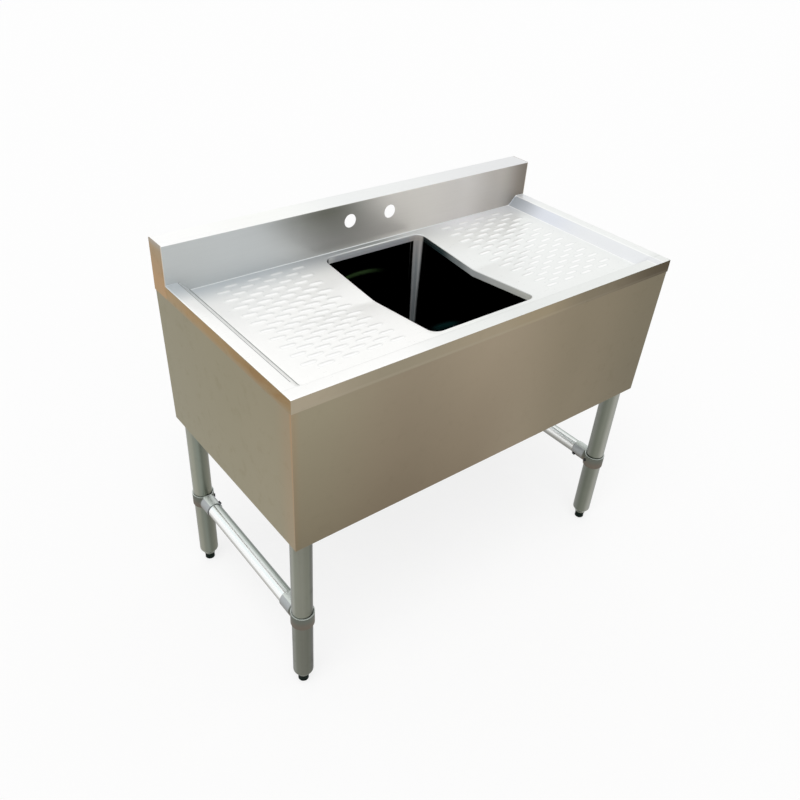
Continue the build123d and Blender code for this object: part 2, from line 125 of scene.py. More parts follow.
def dash_rise(x, y):
    """Height of the soft pressed dashes over the sheet: every other row is shifted outwards."""
    pitch, first = left_dashes if x < 0 else right_dashes
    row = round((y - valley_line - dash_row_offset) / dash_row_pitch)
    if row not in dash_rows:
        return 0.0
    first += dash_stagger if row % 2 else 0.0
    place = min(max(round((abs(x) - first) / pitch), 0), dashes_in_row - 1)
    past_straight = max(abs(abs(x) - first - place * pitch) - dash_straight, 0.0)
    off_middle = y - valley_line - dash_row_offset - row * dash_row_pitch
    return dash_height * (1 - eased((math.hypot(past_straight, off_middle) - dash_crown) / dash_flank))


def grid_lines(start, *runs):
    """Places of grid lines, from a start through runs of (end, number of steps)."""
    lines = [start]
    for end, steps in runs:
        begin = lines[-1]
        lines += [begin + (end - begin) * step / steps for step in range(1, steps + 1)]
    return lines


def round_bowl(x, y, outside):
    """Nearest place on the outline of the bowl opening, made larger all round by outside."""
    middle = Vector((0.0, valley_line))
    point = Vector((x, y)) - middle
    reach = Vector((bowl_half_width - bowl_corner, bowl_half_length - bowl_corner))
    centre = Vector([min(max(point[axis], -reach[axis]), reach[axis]) for axis in (0, 1)])
    return middle + centre + (point - centre).normalized() * (bowl_corner + outside)


def lip_foot(y):
    """Lower edge of the lip round the bowl opening, itself a V."""
    return hem_foot - lip_drop * max(1 - abs(y - valley_line) / board_run(y), 0.0)


def press_sheet():
    """The whole sheet before it is cut, with grid lines close at the folds and over the dashes."""
    folds = ((wall_start - fold_reach, 2), (wall_start + fold_reach, 6), (wall_stop - fold_reach, 3))
    half = grid_lines(
        deck_end - hem_bend,
        *[(deck_end - inside, steps) for inside, steps in folds],
        (deck_end - wall_stop - fold_reach, 6),
        (board_stop, 62),
    )
    columns = [-x for x in half] + grid_lines(-board_stop, (board_stop, 48))[1:-1] + half[::-1]
    rows = grid_lines(
        deck_front + hem_bend,
        *[(deck_front + inside, steps) for inside, steps in folds],
        (valley_line - dashed_cells * grid_cell, 6),
        (valley_line + dashed_cells * grid_cell, 2 * dashed_cells),
        (splash_face - weld_width, 1),
        (splash_face, 1),
    )
    sheet = bmesh.new()
    bmesh.ops.create_grid(sheet, x_segments=len(columns) - 1, y_segments=len(rows) - 1, size=0.5)
    pressed = sheet.verts.layers.float.new("pressed")
    for point in sheet.verts:
        x = columns[round((point.co.x + 0.5) * (len(columns) - 1))]
        y = rows[round((point.co.y + 0.5) * (len(rows) - 1))]
        weld = weld_height if y > splash_face - touching else 0.0
        point.co = x, y, deck_level(x, y) + dash_rise(x, y) + weld
        point[pressed] = dash_rise(x, y) / dash_height
    return sheet


def pull(sheet, edges):
    """Draw edges out of the sheet, not yet moved: gives the new points and the new edges."""
    made = bmesh.ops.extrude_edge_only(sheet, edges=edges)["geom"]
    points = [item for item in made if isinstance(item, bmesh.types.BMVert)]
    return points, [item for item in made if isinstance(item, bmesh.types.BMEdge)]


def roll_opening(sheet):
    """Cut the bowl opening, roll its edge over and end it in a straight lip."""
    in_hole = [
        face for face in sheet.faces
        if abs(face.calc_center_median().x) < board_stop
        and hole_front < face.calc_center_median().y < hole_back
    ]
    bmesh.ops.delete(sheet, geom=in_hole, context="FACES")
    edge = [
        line for line in sheet.edges
        if line.is_boundary
        and all(abs(end.co.x) < board_stop + touching for end in line.verts)
        and all(hole_front - touching < end.co.y < hole_back + touching for end in line.verts)
    ]
    for outside, drop in rolled_edge:
        points, edge = pull(sheet, edge)
        for point in points:
            x, y = round_bowl(point.co.x, point.co.y, outside)
            point.co = x, y, deck_level(x, y) - drop
    points, edge = pull(sheet, edge)
    for point in points:
        point.co.z = lip_foot(point.co.y)
    for line in edge:
        for face in line.link_faces:
            face.material_index = 1


def fold_hem(sheet):
    """Fold the front and both ends down into the hem."""
    end_flat, front_flat = deck_end - hem_bend, deck_front + hem_bend
    edge = [
        line for line in sheet.edges
        if line.is_boundary and (all(abs(end.co.x) > end_flat - touching for end in line.verts)
                                 or all(end.co.y < front_flat + touching for end in line.verts))
    ]
    turns = [math.radians(angle) for angle in bend_angles]
    steps = [(hem_bend * math.sin(turn), hem_bend * (1 - math.cos(turn))) for turn in turns]
    for out, drop in [*steps, (hem_bend, rim_top - hem_foot)]:
        points, edge = pull(sheet, edge)
        for point in points:
            if abs(point.co.x) > end_flat - touching:
                point.co.x = math.copysign(end_flat + out, point.co.x)
            if point.co.y < front_flat + touching:
                point.co.y = front_flat - out
            point.co.z = rim_top - drop
        if drop < hem_bend - touching:
            continue
        for line in edge:
            for face in line.link_faces:
                on_front = face.calc_center_median().y < deck_front + 5 * touching
                face.material_index = 2 if on_front else 3


def make_deck():
    """The deck sheet: pressed, opened for the bowl, folded at its edges and given its thickness."""
    sheet = press_sheet()
    roll_opening(sheet)
    fold_hem(sheet)
    bmesh.ops.solidify(sheet, geom=sheet.faces[:], thickness=deck_sheet)
    mesh = bpy.data.meshes.new("deck_sheet")
    sheet.to_mesh(mesh)
    sheet.free()
    mesh.shade_smooth()
    mesh.set_sharp_from_angle(angle=sharp_fold)
    piece = bpy.data.objects.new("deck_sheet", mesh)
    bpy.context.scene.collection.objects.link(piece)
    return piece


deck_piece = make_deck()
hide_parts("deck")
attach(deck_piece, "sink_frame")


def tone(red, green, blue):
    """Colour from the 0 to 255 values seen on a screen."""
    straight = [((v / 255 + 0.055) / 1.055) ** 2.4 if v > 10 else v / 255 / 12.92 for v in (red, green, blue)]
    return (*straight, 1.0)


def start_finish(name, metallic):
    """New finish: gives the material, its node tree, its shader and the place on the object."""
    material = bpy.data.materials.new(name)
    material.use_nodes = True
    tree = material.node_tree
    shader = tree.nodes["Principled BSDF"]
    shader.inputs["Metallic"].default_value = metallic
    place = tree.nodes.new("ShaderNodeTexCoord").outputs["Object"]
    return material, tree, shader, place


def new_group(name, inputs, outputs):
    """Empty node group with named sockets."""
    group = bpy.data.node_groups.new(name, "ShaderNodeTree")
    for label, kind in inputs:
        group.interface.new_socket(label, in_out="INPUT", socket_type="NodeSocket" + kind)
    for label, kind in outputs:
        group.interface.new_socket(label, in_out="OUTPUT", socket_type="NodeSocket" + kind)
    return group, group.nodes.new("NodeGroupInput").outputs, group.nodes.new("NodeGroupOutput").inputs


def noise(tree, place, *, scale, detail, rough, distortion=0.0):
    """Noise over a place, as a value about 0.5."""
    node = tree.nodes.new("ShaderNodeTexNoise")
    node.inputs["Scale"].default_value = scale
    node.inputs["Detail"].default_value = detail
    node.inputs["Roughness"].default_value = rough
    node.inputs["Distortion"].default_value = distortion
    tree.links.new(place, node.inputs["Vector"])
    return node.outputs["Fac"]


def reckon(tree, kind, first, second):
    """One arithmetic step on two sockets or numbers."""
    node = tree.nodes.new("ShaderNodeMath")
    node.operation = kind
    for socket, value in zip(node.inputs, (first, second)):
        if isinstance(value, (int, float)):
            socket.default_value = value
        else:
            tree.links.new(value, socket)
    return node.outputs[0]


def along(tree, place, axis):
    """One coordinate of the place: 0 along the sink, 1 front to back, 2 up."""
    node = tree.nodes.new("ShaderNodeSeparateXYZ")
    tree.links.new(place, node.inputs[0])
    return node.outputs[axis]


def span(tree, value, low, high, at_low=0.0, at_high=1.0):
    """Soft step of a value between two limits."""
    node = tree.nodes.new("ShaderNodeMapRange")
    node.interpolation_type = "SMOOTHSTEP"
    tree.links.new(value, node.inputs["Value"])
    node.inputs["From Min"].default_value = low
    node.inputs["From Max"].default_value = high
    node.inputs["To Min"].default_value = at_low
    node.inputs["To Max"].default_value = at_high
    return node.outputs["Result"]


def share(tree, value, low, high):
    """How far a value has come between two limits, from 0 to 1."""
    node = tree.nodes.new("ShaderNodeMapRange")
    tree.links.new(value, node.inputs["Value"])
    node.inputs["From Min"].default_value = low
    node.inputs["From Max"].default_value = high
    return node.outputs["Result"]


def ramp(tree, value, stops):
    """Colours in order along a value from 0 to 1."""
    node = tree.nodes.new("ShaderNodeValToRGB")
    node.color_ramp.interpolation = "EASE"
    first, *rest = stops
    node.color_ramp.elements[0].position, node.color_ramp.elements[0].color = first
    node.color_ramp.elements[1].position, node.color_ramp.elements[1].color = rest[-1]
    for position, colour in rest[:-1]:
        node.color_ramp.elements.new(position).color = colour
    tree.links.new(value, node.inputs["Fac"])
    return node.outputs["Color"]


def blend(tree, factor, first, second):
    """Mix of two colours by a factor."""
    node = tree.nodes.new("ShaderNodeMix")
    node.data_type = "RGBA"
    for socket, value in ((node.inputs[0], factor), (node.inputs[6], first), (node.inputs[7], second)):
        if isinstance(value, (int, float, tuple)):
            socket.default_value = value
        else:
            tree.links.new(value, socket)
    return node.outputs[2]


def stretched(tree, place, scale):
    """The place drawn out along one direction, for grain."""
    node = tree.nodes.new("ShaderNodeMapping")
    node.inputs["Scale"].default_value = scale
    tree.links.new(place, node.inputs["Vector"])
    return node.outputs["Vector"]


def make_rolled_grain():
    """Group for polished sheet: fine streaks along the grain, soft clouds and a few handling marks."""
    group, given, made = new_group(
        "rolled_grain",
        [("Grain place", "Vector"), ("Place", "Vector"), ("Colour", "Color"), ("Streaks", "Float"),
         ("Clouds", "Float"), ("Roughness", "Float"), ("Marks", "Float")],
        [("Colour", "Color"), ("Roughness", "Float"), ("Relief", "Float")],
    )
    fine = noise(group, given["Grain place"], scale=1.0, detail=3.0, rough=0.6)
    clouds = noise(group, given["Place"], scale=5.0, detail=4.0, rough=0.55, distortion=0.4)
    marks = noise(group, given["Place"], scale=38.0, detail=5.0, rough=0.7)
    streak_part = reckon(group, "MULTIPLY", reckon(group, "SUBTRACT", fine, 0.5), given["Streaks"])
    cloud_part = reckon(group, "MULTIPLY", reckon(group, "SUBTRACT", clouds, 0.5), given["Clouds"])
    both = reckon(group, "ADD", reckon(group, "ADD", streak_part, cloud_part), 1.0)
    scaled = group.nodes.new("ShaderNodeVectorMath")
    scaled.operation = "SCALE"
    group.links.new(given["Colour"], scaled.inputs[0])
    group.links.new(both, scaled.inputs["Scale"])
    group.links.new(scaled.outputs[0], made["Colour"])
    mark_part = reckon(group, "MULTIPLY", span(group, marks, 0.52, 0.7), given["Marks"])
    rough = reckon(group, "ADD", given["Roughness"], reckon(group, "ADD", mark_part, streak_part))
    group.links.new(rough, made["Roughness"])
    group.links.new(fine, made["Relief"])
    return group


rolled_grain = make_rolled_grain()
grain_depth = 0.0002


def roll(tree, shader, place, colour, grain, *, streaks, clouds, roughness, marks, relief):
    """Put the rolled grain on a shader; grain holds the scale along each axis."""
    node = tree.nodes.new("ShaderNodeGroup")
    node.node_tree = rolled_grain
    tree.links.new(stretched(tree, place, grain), node.inputs["Grain place"])
    tree.links.new(place, node.inputs["Place"])
    if isinstance(colour, tuple):
        node.inputs["Colour"].default_value = colour
    else:
        tree.links.new(colour, node.inputs["Colour"])
    values = {"Streaks": streaks, "Clouds": clouds, "Roughness": roughness, "Marks": marks}
    for label, value in values.items():
        node.inputs[label].default_value = value
    tree.links.new(node.outputs["Colour"], shader.inputs["Base Color"])
    tree.links.new(node.outputs["Roughness"], shader.inputs["Roughness"])
    bump = tree.nodes.new("ShaderNodeBump")
    bump.inputs["Strength"].default_value = relief
    bump.inputs["Distance"].default_value = grain_depth
    tree.links.new(node.outputs["Relief"], bump.inputs["Height"])
    tree.links.new(bump.outputs["Normal"], shader.inputs["Normal"])


def dress(material, *names):
    """Give CAD pieces their finish."""
    for name in names:
        if nodes[name].material_slots:
            for slot in nodes[name].material_slots:
                slot.material = material
        else:
            nodes[name].data.materials.append(material)


def away_from(tree, value, centre):
    """Distance of a value from a centre, to either side."""
    return reckon(tree, "ABSOLUTE", reckon(tree, "SUBTRACT", value, centre), 0.0)


def line_at(tree, value, centre, width):
    """1 on a line, falling softly to 0 a width away."""
    return span(tree, away_from(tree, value, centre), 0.0, width, at_low=1.0, at_high=0.0)


def all_of(tree, *factors):
    """Product of factors."""
    result = factors[0]
    for factor in factors[1:]:
        result = reckon(tree, "MULTIPLY", result, factor)
    return result


# Places where the painted highlights, painted shade and painted reflections on the deck change
wall_foot = deck_end - wall_stop
wall_head = deck_end - wall_start
front_fold = -0.2122
front_band = (-0.185, -0.212)
splash_reflection_band = (0.104, 0.194)
weld_highlight_band = (0.1848, 0.1857)
opening_back_edge = 0.1742

deck_finish, tree, shader, place = start_finish("deck_steel", 0.3)
x, y = along(tree, place, 0), along(tree, place, 1)
across = share(tree, x, -deck_end, deck_end)
# The sheet is painted with reflections: white at the left, a little greyer right of the middle
deck_colour = ramp(tree, across, [
    (0.0, tone(254, 254, 252)),
    (0.32, tone(254, 254, 252)),
    (0.43, tone(247, 249, 246)),
    (0.53, tone(236, 238, 236)),
    (0.68, tone(240, 242, 240)),
    (1.0, tone(240, 242, 240)),
])
# A painted reflection of the backsplash along the back of the boards, darkest behind the bowl
painted_splash_reflection = ramp(tree, across, [
    (0.0, tone(196, 202, 206)),
    (0.2, tone(186, 192, 196)),
    (0.38, tone(162, 166, 169)),
    (0.5, tone(142, 146, 145)),
    (0.62, tone(196, 199, 199)),
    (0.78, tone(232, 233, 237)),
    (0.95, tone(224, 227, 231)),
])
deck_colour = blend(tree, span(tree, y, *splash_reflection_band), deck_colour, painted_splash_reflection)

# The rims, the weld along the backsplash and the bends get painted highlights and painted shade in narrow
# bands
painted_rim_reflection = all_of(tree, span(tree, y, *front_band), span(tree, across, 0.22, 0.36, at_high=0.45))
deck_colour = blend(tree, painted_rim_reflection, deck_colour, tone(224, 227, 224))
painted_opening_highlight = all_of(tree, line_at(tree, y, opening_back_edge, 0.0024), line_at(tree, x, 0.0, 0.30),
                     line_at(tree, across, 0.5, 0.16))
deck_colour = blend(tree, painted_opening_highlight, deck_colour, tone(250, 252, 252))
deck_colour = blend(tree, span(tree, y, *weld_highlight_band), deck_colour, tone(222, 226, 227))
painted_fold_shade = all_of(tree, line_at(tree, y, front_fold, 0.0018),
                    span(tree, x, -0.40, -0.30, at_low=0.15, at_high=0.45))
deck_colour = blend(tree, painted_fold_shade, deck_colour, tone(196, 200, 198))

# Right sloping wall: a painted soft grey reflection between painted highlights on its bends; left one:
# painted dark bends
painted_wall_reflection = ramp(tree, share(tree, y, -0.21, 0.187), [
    (0.0, tone(230, 232, 234)),
    (0.4, tone(231, 233, 235)),
    (0.72, tone(222, 226, 234)),
    (1.0, tone(172, 179, 186)),
])
on_right_wall = all_of(tree, span(tree, x, wall_foot - 0.0008, wall_foot + 0.0008),
                       span(tree, x, wall_head, wall_head - 0.0016))
deck_colour = blend(tree, on_right_wall, deck_colour, painted_wall_reflection)
painted_bend_highlights = reckon(tree, "MAXIMUM", line_at(tree, x, wall_foot - 0.0020, 0.0022),
                     line_at(tree, x, wall_head + 0.0012, 0.0022))
deck_colour = blend(tree, painted_bend_highlights, deck_colour, tone(252, 253, 253))
# A painted reflection of the backsplash on the back of the left rim
painted_left_rim_reflection = all_of(tree, span(tree, x, -wall_head, -wall_head - 0.0012), span(tree, y, 0.10, 0.19))
deck_colour = blend(tree, painted_left_rim_reflection, deck_colour, tone(196, 202, 206))
painted_bend_shade = reckon(tree, "MAXIMUM", line_at(tree, x, -wall_head, 0.0016),
                    line_at(tree, x, -wall_foot + 0.0006, 0.0020))
painted_bend_shade = all_of(tree, painted_bend_shade, span(tree, y, -0.198, -0.194))
deck_colour = blend(tree, painted_bend_shade, deck_colour, tone(124, 128, 124))

# Each dash has a painted white highlight on its crown, weaker towards the back, inside a painted grey ring of
# shade
crown = tree.nodes.new("ShaderNodeAttribute")
crown.attribute_name = "pressed"
painted_crown_highlight = all_of(tree, span(tree, crown.outputs["Fac"], 0.3, 1.0),
                    span(tree, y, 0.10, 0.17, at_low=1.0, at_high=0.5))
painted_flank_shade = all_of(tree, line_at(tree, crown.outputs["Fac"], 0.25, 0.25), 0.3)
deck_colour = blend(tree, painted_flank_shade, deck_colour, tone(214, 218, 218))
deck_colour = blend(tree, painted_crown_highlight, deck_colour, tone(255, 255, 254))
roll(tree, shader, place, deck_colour, (30, 900, 900),
     streaks=0.03, clouds=0.03, roughness=0.28, marks=0.08, relief=0.1)


def make_lip_light():
    """Group for the ground edge round the bowl, painted with reflections: pale at the front, dark at the back
    right.
    """
    group, given, made = new_group("lip_light", [("Place", "Vector")], [("Colour", "Color")])
    across, back = along(group, given["Place"], 0), along(group, given["Place"], 1)
    side_colour = ramp(group, share(group, back, -0.176, 0.172), [
        (0.0, tone(226, 227, 218)),
        (0.3, tone(208, 210, 206)),
        (0.5, tone(190, 194, 194)),
        (0.64, tone(142, 149, 150)),
        (0.8, tone(44, 60, 62)),
        (0.93, tone(24, 34, 34)),
    ])
    back_colour = ramp(group, share(group, across, -bowl_half_width, bowl_half_width), [
        (0.0, tone(18, 22, 22)),
        (0.03, tone(40, 46, 46)),
        (0.06, tone(224, 226, 225)),
        (0.14, tone(186, 189, 193)),
        (0.8, tone(176, 179, 184)),
        (0.97, tone(192, 187, 182)),
    ])
    on_back = span(group, back, 0.1575, 0.1625)
    group.links.new(blend(group, on_back, side_colour, back_colour), made["Colour"])
    return group


lip_light = make_lip_light()


def lip_colour(tree, place):
    """Colour of the ground edge, painted with reflections, for the deck's lip and for the top of the bowl
    welded to it.
    """
    node = tree.nodes.new("ShaderNodeGroup")
    node.node_tree = lip_light
    tree.links.new(place, node.inputs["Place"])
    return node.outputs["Colour"]


# The lip is not metallic, so its painted reflections show as they are
lip_finish, tree, shader, place = start_finish("lip_steel", 0.0)
roll(tree, shader, place, lip_colour(tree, place), (300, 300, 300),
     streaks=0.1, clouds=0.1, roughness=0.5, marks=0.1, relief=0.2)

hem_finish, tree, shader, place = start_finish("front_hem_steel", 1.0)
x, z = along(tree, place, 0), along(tree, place, 2)
# The front hem is painted with reflections: pale at the left, dark at its right end
hem_colour = ramp(tree, share(tree, x, -deck_end, deck_end), [
    (0.0, tone(168, 157, 137)),
    (0.2, tone(148, 139, 119)),
    (0.45, tone(157, 145, 123)),
    (0.58, tone(151, 138, 113)),
    (0.74, tone(124, 114, 94)),
    (1.0, tone(76, 65, 44)),
])
# A painted highlight line along the foot of the hem, stronger on the left half
painted_hem_foot_highlight = all_of(tree, line_at(tree, z, 0.7065, 0.004), span(tree, x, 0.0, 0.25, at_low=0.35, at_high=0.1))
hem_colour = blend(tree, painted_hem_foot_highlight, hem_colour, tone(164, 155, 136))
roll(tree, shader, place, hem_colour, (12, 500, 900),
     streaks=0.09, clouds=0.16, roughness=0.38, marks=0.1, relief=0.15)

side_hem_finish, tree, shader, place = start_finish("side_hem_steel", 1.0)
y, z = along(tree, place, 1), along(tree, place, 2)
# The end hems are painted with warm reflections in patches
painted_warm_reflection = ramp(tree, share(tree, y, deck_front, 0.238), [
    (0.0, tone(143, 113, 68)),
    (0.2, tone(143, 112, 66)),
    (0.45, tone(153, 125, 79)),
    (0.75, tone(160, 130, 84)),
    (1.0, tone(166, 135, 90)),
])
patches = noise(tree, stretched(tree, place, (40, 16, 60)), scale=1.0, detail=3.0, rough=0.6, distortion=0.6)
painted_warm_reflection = blend(tree, span(tree, patches, 0.42, 0.68, at_high=0.45), painted_warm_reflection, tone(154, 136, 102))
# Paler painted reflection bands near the foot and near the top
painted_warm_reflection = blend(tree, span(tree, z, 0.714, 0.703, at_high=0.75), painted_warm_reflection, tone(148, 133, 104))
painted_warm_reflection = blend(tree, span(tree, z, 0.7255, 0.7285, at_high=0.6), painted_warm_reflection, tone(152, 140, 112))
roll(tree, shader, place, painted_warm_reflection, (500, 12, 900),
     streaks=0.09, clouds=0.16, roughness=0.4, marks=0.12, relief=0.15)
for finish in (deck_finish, lip_finish, hem_finish, side_hem_finish):
    deck_piece.data.materials.append(finish)

# Backsplash: a folded sheet with two faucet holes, welded along the back of the deck. Its two end plates are
# flat sheets welded on, and carry on down as the hem.
splash_top = 0.8060
splash_front_side = (0.1877, 0.1883)

splash_finish, tree, shader, place = start_finish("splash_steel", 0.3)
x, y, z = (along(tree, place, axis) for axis in (0, 1, 2))
across = share(tree, x, -deck_end, deck_end)
# The front is painted with reflections: pale, lighter right of the middle, darkening to brown at the right
# end
splash_colour = ramp(tree, across, [
    (0.0, tone(193, 197, 197)),
    (0.18, tone(196, 200, 201)),
    (0.6, tone(222, 218, 212)),
    (0.78, tone(206, 202, 198)),
    (0.9, tone(180, 175, 169)),
    (1.0, tone(120, 112, 102)),
])
# One broad painted dark reflection left of the middle, which leans as it rises
up_splash = share(tree, z, 0.735, 0.795)
leaning = reckon(tree, "ADD", across, all_of(tree, up_splash, 0.04))
dark_reflection = reckon(tree, "ADD", all_of(tree, up_splash, 0.55), 0.45)
dark_reflection = all_of(tree, dark_reflection, line_at(tree, leaning, 0.425, 0.19))
splash_colour = blend(tree, dark_reflection, splash_colour, tone(128, 129, 120))
splash_colour = blend(tree, span(tree, y, *splash_front_side), splash_colour, tone(178, 180, 178))
# The top is painted with a bright reflection, greyer towards the right
painted_top_reflection = ramp(tree, across, [
    (0.0, tone(254, 254, 253)),
    (0.25, tone(251, 252, 249)),
    (0.45, tone(238, 240, 239)),
    (1.0, tone(227, 228, 229)),
])
splash_colour = blend(tree, span(tree, z, splash_top - 0.0014, splash_top), splash_colour, painted_top_reflection)
roll(tree, shader, place, splash_colour, (12, 500, 500),
     streaks=0.07, clouds=0.06, roughness=0.36, marks=0.08, relief=0.2)
dress(splash_finish, "backsplash")

splash_end_finish, tree, shader, place = start_finish("splash_end_steel", 1.0)
y, z = along(tree, place, 1), along(tree, place, 2)
# The end plates are painted with warm reflections, paler at the top
end_colour = ramp(tree, share(tree, z, 0.703, 0.807), [
    (0.0, tone(168, 134, 88)),
    (0.25, tone(170, 133, 86)),
    (0.5, tone(163, 131, 88)),
    (0.85, tone(158, 134, 98)),
    (1.0, tone(160, 149, 134)),
])
# A painted highlight down the front edge of each end plate, above the deck
painted_end_edge_highlight = all_of(tree, span(tree, y, 0.1885, 0.1878), span(tree, z, 0.7280, 0.7300))
end_colour = blend(tree, painted_end_edge_highlight, end_colour, tone(214, 208, 198))
roll(tree, shader, place, end_colour, (500, 12, 900),
     streaks=0.09, clouds=0.2, roughness=0.38, marks=0.12, relief=0.2)
dress(splash_end_finish, "splash_end_left", "splash_end_right")

# Bowl: deep drawn from one sheet and polished, welded under the rolled edge of the deck's opening. Its inside
# is painted near black as a dark reflection, its back right corner gets a painted highlight, and its back and
# right walls each carry a faint painted green reflection arc.
bowl_floor = 0.45625
bowl_cove = 0.016
drain_seat = 0.4475
lip_valley = 0.6770
lip_slope = 0.0182 / 0.188
plain_steel = tone(172, 173, 168)


def near(tree, place, centre, low, high):
    """1 close to a point, falling to 0 between two distances from it."""
    node = tree.nodes.new("ShaderNodeVectorMath")
    node.operation = "DISTANCE"
    tree.links.new(place, node.inputs[0])
    node.inputs[1].default_value = centre
    return span(tree, node.outputs["Value"], low, high, at_low=1.0, at_high=0.0)


def arc(tree, place, centre, inner, outer, middle, length, on_wall):
    """1 on a soft arc between two distances from a centre, fading along its length, on one wall only."""
    return all_of(tree, near(tree, place, centre, *outer),
                  reckon(tree, "SUBTRACT", 1.0, near(tree, place, centre, *inner)),
                  near(tree, place, middle, *length), on_wall)


def beyond(tree, value, centre, reach):
    """How far a value lies beyond a reach to either side of a centre, and 0 within it."""
    return reckon(tree, "MAXIMUM", reckon(tree, "SUBTRACT", away_from(tree, value, centre), reach), 0.0)


def length_of(tree, first, second):
    """Distance made up of two distances at right angles."""
    squares = [reckon(tree, "MULTIPLY", side, side) for side in (first, second)]
    return reckon(tree, "SQRT", reckon(tree, "ADD", *squares), 0.0)


bowl_finish, tree, shader, place = start_finish("bowl_steel", 1.0)
x, y, z = (along(tree, place, axis) for axis in (0, 1, 2))
# The painted highlight down the back right corner, with a fine painted light line beside it
from_corner = reckon(tree, "SUBTRACT", x, span(tree, z, 0.456, 0.70, at_low=0.1122, at_high=0.1077))
round_corner = reckon(tree, "SUBTRACT", y, span(tree, z, 0.50, 0.70, at_low=0.1630, at_high=0.1598))
painted_corner_highlight = all_of(tree, span(tree, from_corner, 0.0, 0.003), span(tree, round_corner, -0.0025, 0.0025),
                      span(tree, z, 0.475, 0.50), span(tree, z, 0.47, 0.71, at_low=0.72, at_high=1.0))
painted_corner_line = all_of(tree, line_at(tree, reckon(tree, "ADD", from_corner, 0.006), 0.0, 0.0012),
                   span(tree, y, 0.165, 0.168), span(tree, z, 0.56, 0.70, at_high=0.5))
painted_corner_highlight = reckon(tree, "MAXIMUM", painted_corner_highlight, painted_corner_line)
# Two faint painted green reflection arcs, on the back wall and on the right wall
painted_back_arc = arc(tree, place, centre=(-0.035, 0.172, 0.429), inner=(0.216, 0.2245), outer=(0.2262, 0.2325),
           middle=(-0.055, 0.172, 0.654), length=(0.03, 0.105), on_wall=span(tree, y, 0.165, 0.170))
painted_side_arc = arc(tree, place, centre=(0.127, -0.195, 0.1504), inner=(0.442, 0.461), outer=(0.461, 0.4705),
           middle=(0.127, 0.065, 0.532), length=(0.02, 0.075), on_wall=span(tree, x, 0.120, 0.126))
# Painted near black as a dark reflection, with the arcs on it
bowl_colour = blend(tree, painted_back_arc, tone(9, 12, 11), tone(54, 76, 44))
bowl_colour = blend(tree, painted_side_arc, bowl_colour, tone(18, 52, 52))

streaks = noise(tree, stretched(tree, place, (420, 420, 5)), scale=1.0, detail=2.0, rough=0.6)
corner_highlight_colour = blend(tree, span(tree, streaks, 0.3, 0.7), tone(152, 160, 164), tone(204, 206, 206))
corner_highlight_colour = blend(tree, span(tree, z, 0.62, 0.70, at_high=0.4), corner_highlight_colour, tone(190, 176, 170))
bowl_colour = blend(tree, painted_corner_highlight, bowl_colour, corner_highlight_colour)

# The top band of the bowl, welded under the lip, takes the lip's painted reflections
lip_rise = all_of(tree, away_from(tree, y, valley_line), lip_slope)
above_lip = reckon(tree, "SUBTRACT", z, reckon(tree, "ADD", lip_valley, lip_rise))
lip_part = span(tree, above_lip, 0.0, 0.0012)
bowl_colour = blend(tree, lip_part, bowl_colour, lip_colour(tree, place))

# The outside is plain steel. It is found from its distance to the line that the cove is rounded about, which
# is the cove's radius at the inner face and one sheet more at the outer face.
to_wall = length_of(tree, beyond(tree, x, 0.0, bowl_half_width - bowl_corner),
                    beyond(tree, y, valley_line, bowl_half_length - bowl_corner))
to_wall = reckon(tree, "MAXIMUM", reckon(tree, "SUBTRACT", to_wall, bowl_corner - bowl_cove), 0.0)
to_floor = reckon(tree, "MAXIMUM", reckon(tree, "SUBTRACT", bowl_floor + bowl_cove, z), 0.0)
outside = span(tree, length_of(tree, to_wall, to_floor), bowl_cove + 0.0003, bowl_cove + 0.0008)
outside = all_of(tree, outside, span(tree, z, drain_seat, drain_seat + 0.0010))
bowl_colour = blend(tree, outside, bowl_colour, plain_steel)
roll(tree, shader, place, bowl_colour, (400, 400, 30),
     streaks=0.1, clouds=0.1, roughness=0.14, marks=0.06, relief=0.1)
# Where the painted highlights and reflections lie, the steel is not metallic, so their colour shows
painted_highlight_mask = reckon(tree, "MAXIMUM", painted_corner_highlight, painted_back_arc)
painted_highlight_mask = reckon(tree, "MAXIMUM", painted_highlight_mask, reckon(tree, "MAXIMUM", painted_side_arc, lip_part))
painted_highlight_mask = all_of(tree, painted_highlight_mask, reckon(tree, "SUBTRACT", 1.0, outside))
tree.links.new(reckon(tree, "SUBTRACT", 1.0, painted_highlight_mask), shader.inputs["Metallic"])
polish = shader.inputs["Roughness"].links[0].from_socket
tree.links.new(reckon(tree, "ADD", polish, all_of(tree, outside, 0.24)), shader.inputs["Roughness"])
dress(bowl_finish, "bowl")


# Drain: a polished body held in the bowl by a brass locknut, with a lift-out basket, and a tailpiece held
# under it by a brass slip nut. Rings of rubber, fibre and plastic seal and ease the joints.
def plain_finish(name, metallic, colour, grain, pieces, **feel):
    """A finish of one colour with its own grain, put on some CAD pieces."""
    finish, tree, shader, place = start_finish(name, metallic)
    roll(tree, shader, place, colour, grain, **feel)
    dress(finish, *pieces)
    return shader


